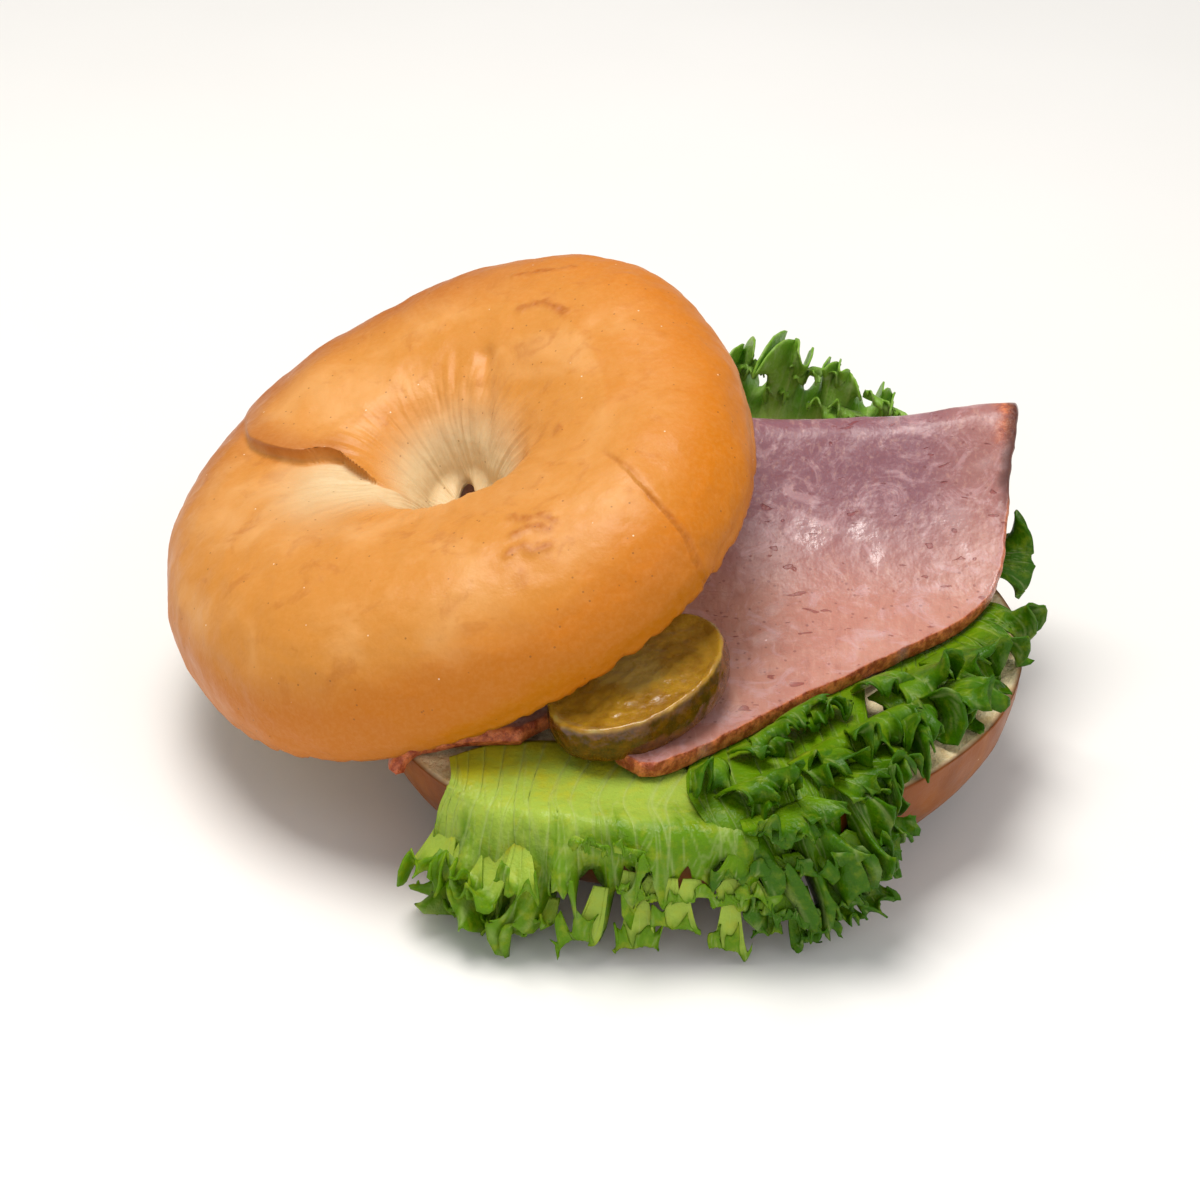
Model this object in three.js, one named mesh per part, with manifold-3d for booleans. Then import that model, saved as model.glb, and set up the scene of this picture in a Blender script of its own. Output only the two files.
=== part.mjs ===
// A filled bagel: the top half leans back off the fillings and shows them at the front and the right.
// Millimetres, +Z up, +Y away from the viewer. The bottom half rests on z = 0.
import * as THREE from 'three'
import Module from 'manifold-3d'

const wasm = await Module()
wasm.setup()

// Driving dimensions
const TOP_RADIUS = 57.5
const BOTTOM_RADIUS = 58.5
const HOLE_RADIUS = 9
const BOTTOM_HEIGHT = 22
const BOTTOM_SLOPE = 0.027
const BASE_OUTER = 35
const BASE_INNER = 22
const TOP_HEIGHT = 19.7
const TOP_CENTRE = [-38.5, 15, 38.8]
const TOP_NORMAL = [-0.44, -0.215, 1]
const TOP_CREST = 0.6
const TOP_UNDERCUT = 1.2
const TOP_HOLE = 5.6
const SEAM_STEP = 1.6
const ROAST_THICKNESS = 3.6
const LEFT_SLICE_THICKNESS = 3.2
const LEAF_THICKNESS = 0.8
const PICKLE_THICKNESS = 7
const GAP = 0.3
const OFFSET = [14.2, -3.3, 0]

// How far each half's edge strays from a circle: cosine and sine parts of the waves from the second up
const TOP_WOBBLE = [-0.011, 0, -0.017, -0.009, -0.01, -0.014]
const BOTTOM_WOBBLE = [-0.01, -0.011, 0.024, -0.001]
// The same for the top half's height, from the first wave up
const HEIGHT_WOBBLE = [-0.106, -0.137, -0.031, 0.028]

const clamp = (x, low, high) => Math.min(Math.max(x, low), high)
const mix = (a, b, t) => a + (b - a) * t
const smooth = (low, high, x) => {
  const t = clamp((x - low) / (high - low), 0, 1)
  return t * t * (3 - 2 * t)
}
const power = (x, e) => Math.pow(Math.max(x, 0), e)

function wobble(parts, firstWave, t) {
  let sum = 1
  for (let k = 0; k < parts.length; k += 2) {
    const wave = firstWave + k / 2
    sum += parts[k] * Math.cos(wave * t) + parts[k + 1] * Math.sin(wave * t)
  }
  return sum
}

// A smooth curve through rows of numbers, t from 0 to 1
function along(rows, t) {
  const last = rows.length - 1
  const x = clamp(t, 0, 1) * last
  const i = Math.min(Math.floor(x), last - 1)
  const f = x - i
  const row = (k) => rows[clamp(k, 0, last)]
  return row(i).map((b, k) => {
    const c = row(i + 1)[k]
    const m = (c - row(i - 1)[k]) / 2
    const n = (row(i + 2)[k] - b) / 2
    return b + m * f + (3 * (c - b) - 2 * m - n) * f * f + (m + n - 2 * (c - b)) * f * f * f
  })
}

// Closed surface from a grid of points that wraps both ways, such as a ring of dough
function ringSolid(point, around, across) {
  const positions = []
  const faces = []
  for (let i = 0; i < around; i++) {
    for (let j = 0; j < across; j++) {
      positions.push(...point(i / around, j / across))
      const a = i * across + j
      const b = ((i + 1) % around) * across + j
      const c = ((i + 1) % around) * across + ((j + 1) % across)
      const d = i * across + ((j + 1) % across)
      faces.push(a, b, c, a, c, d)
    }
  }
  return facingOut(positions, faces)
}

// Closed sheet of even thickness along a surface, u and v from 0 to 1, with a flat rim
function sheetSolid(surface, nu, nv, thickness) {
  const positions = []
  const faces = []
  const size = (nu + 1) * (nv + 1)
  for (const side of [0.5, -0.5]) {
    for (let i = 0; i <= nu; i++) {
      for (let j = 0; j <= nv; j++) {
        const p = new THREE.Vector3(...surface(i / nu, j / nv))
        p.addScaledVector(normalAt(surface, i / nu, j / nv), side * thickness)
        positions.push(p.x, p.y, p.z)
      }
    }
  }
  const at = (i, j) => i * (nv + 1) + j
  for (let i = 0; i < nu; i++) {
    for (let j = 0; j < nv; j++) {
      const [a, b, c, d] = [at(i, j), at(i + 1, j), at(i + 1, j + 1), at(i, j + 1)]
      faces.push(a, b, c, a, c, d)
      faces.push(size + a, size + c, size + b, size + a, size + d, size + c)
    }
  }
  const rim = []
  for (let i = 0; i < nu; i++) rim.push(at(i, 0))
  for (let j = 0; j < nv; j++) rim.push(at(nu, j))
  for (let i = nu; i > 0; i--) rim.push(at(i, nv))
  for (let j = nv; j > 0; j--) rim.push(at(0, j))
  rim.forEach((a, k) => {
    const b = rim[(k + 1) % rim.length]
    faces.push(a, size + a, size + b, a, size + b, b)
  })
  return facingOut(positions, faces)
}

function normalAt(surface, u, v) {
  const e = 0.004
  const at = (s, t) => new THREE.Vector3(...surface(clamp(s, 0, 1), clamp(t, 0, 1)))
  const du = at(u + e, v).sub(at(u - e, v))
  const dv = at(u, v + e).sub(at(u, v - e))
  return du.cross(dv).normalize()
}

function facingOut(positions, faces) {
  let volume = 0
  const p = (k) => new THREE.Vector3().fromArray(positions, 3 * k)
  for (let k = 0; k < faces.length; k += 3) {
    volume += p(faces[k]).dot(p(faces[k + 1]).cross(p(faces[k + 2])))
  }
  if (volume < 0) {
    for (let k = 0; k < faces.length; k += 3) {
      const swap = faces[k + 1]
      faces[k + 1] = faces[k + 2]
      faces[k + 2] = swap
    }
  }
  const geometry = new THREE.BufferGeometry()
  geometry.setAttribute('position', new THREE.Float32BufferAttribute(positions, 3))
  geometry.setIndex(faces)
  return geometry
}

// The same solid with its skin moved out by a distance
function grown(geometry, distance) {
  const copy = geometry.clone()
  copy.computeVertexNormals()
  const p = copy.getAttribute('position')
  const n = copy.getAttribute('normal')
  for (let k = 0; k < p.count; k++) {
    p.setXYZ(k, p.getX(k) + distance * n.getX(k), p.getY(k) + distance * n.getY(k), p.getZ(k) + distance * n.getZ(k))
  }
  return copy
}

function toManifold(geometry) {
  const vertProperties = new Float32Array(geometry.getAttribute('position').array)
  const triVerts = new Uint32Array(geometry.getIndex().array)
  return new wasm.Manifold(new wasm.Mesh({ numProp: 3, vertProperties, triVerts }))
}

// A piece with its neighbours' space cut away, as one body
function cutBy(geometry, neighbours) {
  let solid = toManifold(geometry)
  for (const other of neighbours) {
    solid = solid.subtract(toManifold(other))
  }
  const bodies = solid.decompose().sort((a, b) => b.volume() - a.volume())
  const mesh = bodies[0].simplify(0.02).getMesh()
  const result = new THREE.BufferGeometry()
  result.setAttribute('position', new THREE.Float32BufferAttribute(mesh.vertProperties, 3))
  result.setIndex(Array.from(mesh.triVerts))
  return result
}

// Bottom half
const cutHeight = (x) => BOTTOM_HEIGHT + BOTTOM_SLOPE * x
const bottomRadius = (t) => BOTTOM_RADIUS * wobble(BOTTOM_WOBBLE, 2, t)

function bottomPoint(u, v) {
  const t = 2 * Math.PI * u
  const rim = bottomRadius(t)
  const q = (4 * v) % 4
  let r = 0
  let share = 0
  if (q < 1) {
    const p = (Math.PI / 2) * q
    r = BASE_OUTER + (rim - BASE_OUTER) * power(Math.cos(p), 2 / 2.1)
    share = 1 - power(Math.sin(p), 2 / 2.1)
  } else if (q < 2) {
    r = mix(BASE_OUTER, BASE_INNER, q - 1)
  } else if (q < 3) {
    const p = (Math.PI / 2) * (3 - q)
    r = BASE_INNER - (BASE_INNER - HOLE_RADIUS) * power(Math.cos(p), 2 / 1.9)
    share = 1 - power(Math.sin(p), 2 / 1.9)
  } else {
    r = mix(HOLE_RADIUS, rim, q - 3)
    share = 1
  }
  const x = r * Math.cos(t)
  return [x, r * Math.sin(t), share * cutHeight(x)]
}

// Radius of the bottom half's outside at a height
function bottomSide(t, z) {
  const share = clamp(z / BOTTOM_HEIGHT, 0, 1)
  return BASE_OUTER + (bottomRadius(t) - BASE_OUTER) * power(1 - power(1 - share, 2.1), 1 / 2.1)
}

// Top half, made flat about its own centre and then leaned over
const lean = new THREE.Quaternion().setFromUnitVectors(
  new THREE.Vector3(0, 0, 1),
  new THREE.Vector3(...TOP_NORMAL).normalize()
)
const topPlane = (x, y) =>
  TOP_CENTRE[2] - TOP_NORMAL[0] * (x - TOP_CENTRE[0]) - TOP_NORMAL[1] * (y - TOP_CENTRE[1])

// The overlapping ends of the dough leave a step that runs from the rim into the hole
function seamStep(t, r) {
  const line = THREE.MathUtils.degToRad(mix(177, 150, smooth(9, 46, r)))
  const behind = (line - t + 4 * Math.PI) % (2 * Math.PI)
  const fade = 1 - smooth(0.15, 1.1, behind)
  return SEAM_STEP * smooth(0, 0.1, behind) * fade * smooth(8, 16, r) * (1 - smooth(48, 56, r))
}

// The top half's hole is pinched to a slot that is longest towards the back
function topHole(t) {
  const fromBack = t - THREE.MathUtils.degToRad(95)
  return TOP_HOLE * (1 + 0.28 * Math.cos(fromBack) + 0.21 * Math.cos(2 * fromBack))
}

function topPoint(u, v) {
  const t = 2 * Math.PI * u
  const rim = TOP_RADIUS * wobble(TOP_WOBBLE, 2, t)
  const height = TOP_HEIGHT * wobble(HEIGHT_WOBBLE, 1, t)
  const crest = TOP_CREST * rim
  const q = (3 * v) % 3
  let r = 0
  let z = 0
  if (q < 1) {
    const p = (Math.PI / 2) * q
    r = crest + (rim - crest) * power(Math.cos(p), 2 / 2.4)
    z = height * power(Math.sin(p), 2 / 2.4)
    r -= TOP_UNDERCUT * clamp(1 - z / 5, 0, 1) ** 2
  } else if (q < 2) {
    const p = (Math.PI / 2) * (2 - q)
    r = crest - (crest - topHole(t)) * power(Math.cos(p), 2 / 1.9)
    z = height * power(Math.sin(p), 2 / 1.9)
  } else {
    r = mix(topHole(t), rim - TOP_UNDERCUT, q - 2)
  }
  z += seamStep(t, r) * smooth(0, 6, z)
  const point = new THREE.Vector3(r * Math.cos(t), r * Math.sin(t), z).applyQuaternion(lean)
  return [point.x + TOP_CENTRE[0], point.y + TOP_CENTRE[1], point.z + TOP_CENTRE[2]]
}

// Main roast slice, from its front tip over the fold and down behind: y, z, left edge x, right edge x
const ROAST_ROWS = [
  [-46, 25.9, -8.5, -6],
  [-42, 25.9, -12.5, 0.5],
  [-36, 26, -15.5, 8],
  [-28, 26.3, -17.5, 17.5],
  [-20, 26.7, -18, 28.5],
  [-12, 27.4, -18, 39.5],
  [-5, 28.4, -18, 48.5],
  [2, 30, -18, 54.5],
  [9, 33.2, -18, 57],
  [15, 36.6, -18, 58],
  [21, 41, -18, 58.8],
  [26, 45.3, -18, 59.8],
  [29.3, 47.4, -18, 60.4],
  [32.6, 47.1, -18, 61],
  [35.2, 44, -18, 61.3],
  [37, 39, -18, 61.2],
  [38.3, 33.5, -17, 60.2],
  [40.3, 28.8, -15, 57],
  [45, 26.9, -9, 49]
]

function roastSurface(u, v) {
  const [y, height, left, right] = along(ROAST_ROWS, v)
  const x = mix(left, right, u)
  const lift = 2.6 * smooth(38, 61, x) * smooth(18, 30, y) * smooth(26, 44, height)
  const wave = 0.5 * Math.sin(x / 9 + y / 14) * smooth(-20, 0, y)
  return [x, y, Math.min(height + lift + wave, topPlane(x, y) - GAP - ROAST_THICKNESS / 2)]
}

// Second slice: its left part droops over the rim in front and folds back on itself further in
const LEFT_END_X = -21
const leftFoldX = (y) => mix(-44.5, -49, smooth(-34, -20, y))

function leftSliceSurface(u, v) {
  const half = LEFT_SLICE_THICKNESS / 2
  const y = mix(-35.5, 33, v)
  const corner = 7 * (smooth(0.12, 0, v) + smooth(0.9, 1, v))
  const low = (x) => cutHeight(x) + GAP + half + 1.5 * smooth(-22, -30, y) * smooth(-46, -36, x)
  const foldX = leftFoldX(y)
  const split = 0.42
  if (u < split) {
    const x = mix(LEFT_END_X - corner, foldX, u / split)
    return [x, y, low(x)]
  }
  const bend = THREE.MathUtils.degToRad(mix(-75, 156, smooth(-32, -10, y)))
  const room = topPlane(foldX, y) - GAP - half - low(foldX)
  const arc = Math.max((2.72 * room) / 2.09, 6)
  const flap = 8 * smooth(-12, 0, y) * smooth(33, 24, y)
  const s = ((u - split) / (1 - split)) * (arc + flap)
  const a = (bend * Math.min(s, arc)) / arc
  const turn = Math.abs(bend) < 1e-3 ? 1e3 * arc : arc / bend
  const past = Math.max(s - arc, 0)
  const x = foldX - turn * Math.sin(a) - past * Math.cos(bend)
  const z = low(foldX) + turn * (1 - Math.cos(a)) + past * Math.sin(bend)
  const droop = 2.5 * smooth(-30, -36, y) * (s / arc)
  return [x, y - droop, z]
}

// Pickle slice: a thick oval coin that leans on the main slice
const PICKLE_CENTRE = [-9.2, -30.2, 35.2]
const PICKLE_NORMAL = [-0.2, -0.1, 0.975]
const PICKLE_LONG = 16.8
const PICKLE_SHORT = 12.4
const PICKLE_TURN = THREE.MathUtils.degToRad(40)

function pickleGeometry(extra) {
  const tilt = new THREE.Quaternion().setFromUnitVectors(
    new THREE.Vector3(0, 0, 1),
    new THREE.Vector3(...PICKLE_NORMAL).normalize()
  )
  const outline = [
    [0, 0],
    [0.55, 0],
    [0.93, 0],
    [1, 0.08],
    [1.04, 0.5],
    [1, 0.92],
    [0.93, 1],
    [0.55, 1],
    [0, 1]
  ].map(([r, z]) => new THREE.Vector2(r, -z * PICKLE_THICKNESS))
  const coin = new THREE.LatheGeometry(outline, 28)
  coin.rotateX(Math.PI / 2)
  coin.scale(PICKLE_LONG, PICKLE_SHORT, 1)
  coin.rotateZ(PICKLE_TURN)
  coin.applyQuaternion(tilt)
  coin.translate(...PICKLE_CENTRE)
  const merged = weld(coin)
  return extra ? grown(merged, extra) : merged
}

// The same surface with points that lie together made one and empty triangles dropped
function weld(geometry) {
  const p = geometry.getAttribute('position')
  const seen = new Map()
  const positions = []
  const index = []
  for (let k = 0; k < p.count; k++) {
    const xyz = [p.getX(k), p.getY(k), p.getZ(k)]
    const key = xyz.map((c) => Math.round(c * 1e3)).join()
    if (!seen.has(key)) {
      seen.set(key, positions.length / 3)
      positions.push(...xyz)
    }
    index.push(seen.get(key))
  }
  const source = geometry.getIndex().array
  const faces = []
  for (let k = 0; k < source.length; k += 3) {
    const [a, b, c] = [index[source[k]], index[source[k + 1]], index[source[k + 2]]]
    if (a !== b && b !== c && a !== c) faces.push(a, b, c)
  }
  return facingOut(positions, faces)
}

// Lettuce: each leaf runs from its root under the meat to its frilled edge, through rows of points
function leafSurface(leaf) {
  return (u, v) => {
    const rows = leaf.rows.map((row) => along(row, u))
    const p = along(rows, v)
    const at = (s, t) => new THREE.Vector3(...along(leaf.rows.map((row) => along(row, s)), t))
    const e = 0.01
    const du = at(clamp(u + e, 0, 1), v).sub(at(clamp(u - e, 0, 1), v))
    const dv = at(u, clamp(v + e, 0, 1)).sub(at(u, clamp(v - e, 0, 1)))
    const n = du.cross(dv).normalize()
    const phase = 2 * Math.PI * leaf.waves * u + leaf.phase
    const ruffle = leaf.depth * power(v, 1.6) * Math.sin(phase)
    return keepClear([p[0] + ruffle * n.x, p[1] + ruffle * n.y, p[2] + ruffle * n.z])
  }
}

// Keeps a leaf above the cut face, outside the bottom half and off the ground
function keepClear([x, y, z]) {
  const away = GAP + LEAF_THICKNESS / 2 + 0.15
  const t = Math.atan2(y, x)
  const r = Math.hypot(x, y)
  const rim = bottomRadius(t)
  if (r < rim) {
    return [x, y, Math.max(z, cutHeight(x) + away)]
  }
  const side = bottomSide(t, z) + away
  const push = z < cutHeight(x) + away && r < side ? side / r : 1
  return [x * push, y * push, Math.max(z, away)]
}

const LEAVES = {
  lettuce_front: {
    waves: 4.5,
    phase: 0.6,
    depth: 1.8,
    rows: [
      [[-40, -37, 22.2], [-31, -33, 22.4], [-17, -34, 22.8], [-4, -40, 23], [6, -45, 23.4]],
      [[-39.5, -43.5, 22.4], [-31.5, -47, 22.9], [-21.5, -48.5, 23.3], [-8, -51, 23.7], [8, -54, 24]],
      [[-41.5, -45.5, 18], [-32.5, -52, 21], [-21.5, -56.5, 24], [-7, -59.5, 24.5], [10, -60.5, 23.5]],
      [[-42.5, -48, 11], [-33, -54.5, 12.5], [-21.5, -59.5, 15.5], [-6.5, -62.5, 19], [10.5, -62.5, 18.5]],
      [[-39.5, -49, 4], [-31.5, -53.5, 3.5], [-21.5, -57.5, 3.5], [-6, -60.8, 9.5], [11.5, -61, 12]]
    ]
  },
  lettuce_frill: {
    waves: 5,
    phase: 1.2,
    depth: 2.6,
    rows: [
      [[0, -40, 23.4], [8, -32, 23.5], [16, -25, 23.7], [24, -18, 23.9], [31, -12, 24.1]],
      [[-1, -50.5, 25.5], [9, -47, 26], [18, -41, 26.5], [24.5, -34, 27], [29.5, -27, 27]],
      [[2, -59, 24.5], [12, -57, 25], [20, -52.5, 26], [25.5, -45, 27], [30, -38.5, 27]],
      [[6, -62.5, 17.5], [16, -61, 15.5], [24.5, -57, 17.5], [29.5, -52, 22], [32.5, -47, 25.5]],
      [[10, -60.5, 8], [18.5, -59, 7], [26, -55.5, 10.5], [31, -52, 17.5], [34, -49, 23]]
    ]
  },
  lettuce_right: {
    waves: 4,
    phase: 0,
    depth: 2,
    rows: [
      [[35, -11, 24.2], [42, -7, 24.4], [47, -1, 24.5], [50, 6, 24.6]],
      [[32.5, -25, 26.5], [43, -16.5, 27], [51, -7, 27.5], [54, 3, 27.5]],
      [[33.5, -38, 27.5], [44.5, -26.5, 28], [54, -12.5, 28.5], [58, -1, 28.5]],
      [[36, -46.5, 25.5], [48.5, -31, 25], [57.5, -14, 26], [62.5, -2, 27]]
    ]
  },
  lettuce_right_tip: {
    waves: 1.5,
    phase: 0.5,
    depth: 1,
    rows: [
      [[47, 15, 24.2], [46.5, 20, 24.2], [46, 25, 24.2]],
      [[55, 15.5, 26], [54.5, 21, 26.5], [53, 26.5, 26]],
      [[63.5, 15.5, 25.5], [65, 21, 27], [61.5, 27.5, 26.5]]
    ]
  },
  lettuce_back: {
    waves: 3.5,
    phase: 0.9,
    depth: 2.4,
    rows: [
      [[0, 42, 23], [11, 41, 23.2], [22, 40, 23.4], [32, 38, 23.6]],
      [[3, 50, 26], [14, 50, 27], [26, 49, 27], [36, 47, 26]],
      [[6, 58, 36], [17, 58, 37.5], [29, 56, 36.5], [40, 54, 34]],
      [[9, 63.5, 45], [21, 62.5, 48.5], [31, 59, 44.5], [42, 57, 40]]
    ]
  }
}

const LEAF_GRID = { lettuce_front: [30, 9], lettuce_frill: [32, 9], lettuce_right: [24, 7], lettuce_back: [22, 7] }

function leafGeometry(name, thickness) {
  const [nu, nv] = LEAF_GRID[name] ?? [9, 5]
  return sheetSolid(leafSurface(LEAVES[name]), nu, nv, thickness)
}

// Each piece gives way to the ones laid down before it
const shapes = {}
shapes.bagel_bottom = ringSolid(bottomPoint, 48, 16)
shapes.bagel_top = ringSolid(topPoint, 52, 18)
const halves = [grown(shapes.bagel_bottom, GAP), grown(shapes.bagel_top, GAP)]
const roast = sheetSolid(roastSurface, 12, 27, ROAST_THICKNESS)
const leftSlice = sheetSolid(leftSliceSurface, 20, 14, LEFT_SLICE_THICKNESS)
const slices = [grown(roast, GAP), grown(leftSlice, GAP)]
shapes.roast_slice = cutBy(roast, halves)
shapes.roast_slice_left = cutBy(leftSlice, [...halves, slices[0]])
shapes.pickle_slice = cutBy(pickleGeometry(0), [...halves, ...slices])
const solids = [...halves, ...slices, pickleGeometry(GAP)]
for (const name of Object.keys(LEAVES)) {
  shapes[name] = cutBy(leafGeometry(name, LEAF_THICKNESS), solids)
  solids.push(grown(leafGeometry(name, LEAF_THICKNESS), GAP))
}

const LOOKS = {
  bagel_bottom: { color: 0xc98b45, roughness: 0.5 },
  bagel_top: { color: 0xd9984f, roughness: 0.45 },
  roast_slice: { color: 0xbf8587, roughness: 0.4 },
  roast_slice_left: { color: 0xa8695c, roughness: 0.45 },
  pickle_slice: { color: 0x6f5a14, roughness: 0.25 },
  lettuce_front: { color: 0x9db845, roughness: 0.45 },
  lettuce_frill: { color: 0x5c8f22, roughness: 0.45 },
  lettuce_right: { color: 0x5f9628, roughness: 0.45 },
  lettuce_right_tip: { color: 0x3f7a1e, roughness: 0.45 },
  lettuce_back: { color: 0x5b8a3a, roughness: 0.5 }
}

const bagel = new THREE.Group()
bagel.name = 'filled_bagel'
for (const [name, geometry] of Object.entries(shapes)) {
  geometry.computeVertexNormals()
  const mesh = new THREE.Mesh(geometry, new THREE.MeshStandardMaterial({ ...LOOKS[name], metalness: 0 }))
  mesh.name = name
  mesh.position.set(...OFFSET)
  bagel.add(mesh)
}

export default bagel
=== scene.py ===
"""A filled bagel sandwich, open towards the right: two bagel halves, two slices of roast meat, a pickle slice
and five pieces of frilly lettuce. Shapes are worked out in millimetres in the sandwich's own frame."""
import itertools
import math

import bpy
import numpy as np
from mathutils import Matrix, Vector


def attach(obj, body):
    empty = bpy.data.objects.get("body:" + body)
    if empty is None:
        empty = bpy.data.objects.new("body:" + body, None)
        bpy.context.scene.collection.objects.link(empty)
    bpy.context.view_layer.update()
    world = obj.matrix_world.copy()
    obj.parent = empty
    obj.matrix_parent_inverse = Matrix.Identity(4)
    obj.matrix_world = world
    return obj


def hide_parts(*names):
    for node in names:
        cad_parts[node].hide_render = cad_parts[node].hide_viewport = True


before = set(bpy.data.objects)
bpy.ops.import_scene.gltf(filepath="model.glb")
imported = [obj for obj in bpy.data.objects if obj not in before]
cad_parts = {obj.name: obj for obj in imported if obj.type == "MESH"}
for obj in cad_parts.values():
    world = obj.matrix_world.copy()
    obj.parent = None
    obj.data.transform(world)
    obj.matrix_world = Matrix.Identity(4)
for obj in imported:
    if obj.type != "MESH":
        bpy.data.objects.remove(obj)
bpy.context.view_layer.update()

OFFSET = np.array([14.2, -3.3, 0.0])  # from the sandwich's frame to the part's, mm
MM = 0.001

# Bottom half, mm
BOTTOM_RADIUS = 58.5
BOTTOM_HEIGHT = 22.0
BOTTOM_SLOPE = 0.027
BASE_OUTER = 35.0
BASE_INNER = 22.0
HOLE_RADIUS = 9.0
BOTTOM_WOBBLE = [-0.01, -0.011, 0.024, -0.001]
# Powers of superellipses, where 2 is round and more is squarer
SIDE_POWER = 2.1
BOTTOM_HOLE_POWER = 1.9

# Top half, mm
TOP_RADIUS = 57.5
TOP_HEIGHT = 19.7
TOP_CENTRE = np.array([-38.5, 15.0, 38.8])
TOP_NORMAL = np.array([-0.44, -0.215, 1.0])
TOP_CREST = 0.6
TOP_UNDERCUT = 1.2
TOP_HOLE = 5.6
TOP_SLIT = (2.0, 8.0)
CROWN_POWER = 2.4
TOP_HOLE_POWER = 2.05
SEAM_STEP = 1.2
TOP_BACK = 70.7
TOP_WOBBLE = [-0.011, 0.0, -0.017, -0.009, -0.01, -0.014]
HEIGHT_WOBBLE = [-0.106, -0.137, -0.031, 0.028]

# Fillings, mm
ROAST_HALF = 1.8
LEFT_SLICE_HALF = 1.6
LEAF_HALF = 0.3
GAP = 0.3
LEAF_CLEARANCE = GAP + 0.5
LEAF_LOWEST = 0.6
MEAT_CLEARANCE = 0.6


# Numbers
def smooth(low, high, x):
    t = np.clip((x - low) / (high - low), 0, 1)
    return t * t * (3 - 2 * t)


def mix(a, b, t):
    return a + (b - a) * t


def unit(v):
    return v / np.maximum(np.linalg.norm(v, axis=-1, keepdims=True), 1e-9)


def wobble(parts, first_wave, t):
    """1 plus a few waves round the circle, given as cosine and sine pairs."""
    total = np.ones_like(t)
    for k in range(0, len(parts), 2):
        wave = first_wave + k // 2
        total += parts[k] * np.cos(wave * t) + parts[k + 1] * np.sin(wave * t)
    return total


def along(rows, t):
    """Points on a smooth curve through rows, for t from 0 to 1."""
    rows = np.asarray(rows, float)
    place = np.clip(t, 0, 1) * (len(rows) - 1)
    k = np.minimum(place.astype(int), len(rows) - 2)
    f = (place - k)[..., None]
    last = len(rows) - 1
    a, b, c, d = (rows[np.clip(k + s, 0, last)] for s in (-1, 0, 1, 2))
    return b + 0.5 * f * (c - a + f * (2 * a - 5 * b + 4 * c - d + f * (3 * (b - c) + d - a)))


def noise(points, size, seed):
    """Smooth gradient noise, about -1 to 1, with lumps of that size."""
    rng = np.random.default_rng(seed)
    table = rng.permutation(256)
    slopes = unit(rng.normal(size=(256, 3)))
    place = points / size
    cell = np.floor(place).astype(int)
    f = place - cell
    ease = f * f * f * (f * (f * 6 - 15) + 10)
    total = np.zeros(points.shape[:-1])
    for corner in itertools.product((0, 1), repeat=3):
        c = (cell + corner) & 255
        pick = table[(table[(table[c[..., 0]] + c[..., 1]) & 255] + c[..., 2]) & 255]
        weight = np.prod(np.where(corner, ease, 1 - ease), axis=-1)
        total += weight * np.sum(slopes[pick] * (f - corner), axis=-1)
    return 1.6 * total


def layered(points, size, seed, layers=3):
    """Noise with finer and weaker layers on top."""
    return sum(noise(points, size / 2**k, seed + k) / 2**k for k in range(layers))


def wrapped(angle, turn=2 * math.pi):
    """An angle brought between minus half a turn and half a turn."""
    return (angle + turn / 2) % turn - turn / 2


def turn_to(normal):
    """The rotation that stands the upright axis along a direction."""
    direction = normal / np.linalg.norm(normal)
    return np.array(Vector((0, 0, 1)).rotation_difference(Vector(direction)).to_matrix())


def distance_to_line(points, line):
    """Distance from each point to a line of points, and how far along the line it is, 0 to 1."""
    line = np.asarray(line, float)
    best = np.full(points.shape[:-1], 1e9)
    place = np.zeros(points.shape[:-1])
    for k, (a, b) in enumerate(zip(line[:-1], line[1:])):
        t = np.clip(np.sum((points - a) * (b - a), axis=-1) / max(np.sum((b - a) ** 2), 1e-9), 0, 1)
        d = np.linalg.norm(points - (a + t[..., None] * (b - a)), axis=-1)
        place = np.where(d < best, (k + t) / (len(line) - 1), place)
        best = np.minimum(best, d)
    return best, place


# Meshes
def grid_faces(rows, columns, wrap_rows=False, wrap_columns=False):
    r = np.arange(rows if wrap_rows else rows - 1)
    c = np.arange(columns if wrap_columns else columns - 1)
    r, c = (a.ravel() for a in np.meshgrid(r, c, indexing="ij"))
    r2, c2 = (r + 1) % rows, (c + 1) % columns
    return np.stack([r * columns + c, r * columns + c2, r2 * columns + c2, r2 * columns + c], axis=1)


def grid_normals(points, wrap_rows=False, wrap_columns=False):
    def slope(axis, wrap):
        if wrap:
            return np.roll(points, -1, axis) - np.roll(points, 1, axis)
        return np.gradient(points, axis=axis)
    return unit(np.cross(slope(1, wrap_columns), slope(0, wrap_rows)))


def outward(points, faces):
    """The faces, turned over if they face inwards."""
    a, b, c, d = (points[faces[:, k]] for k in range(4))
    volume = np.sum(a * np.cross(b, c)) + np.sum(a * np.cross(c, d))
    return faces if volume > 0 else faces[:, ::-1]


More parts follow.
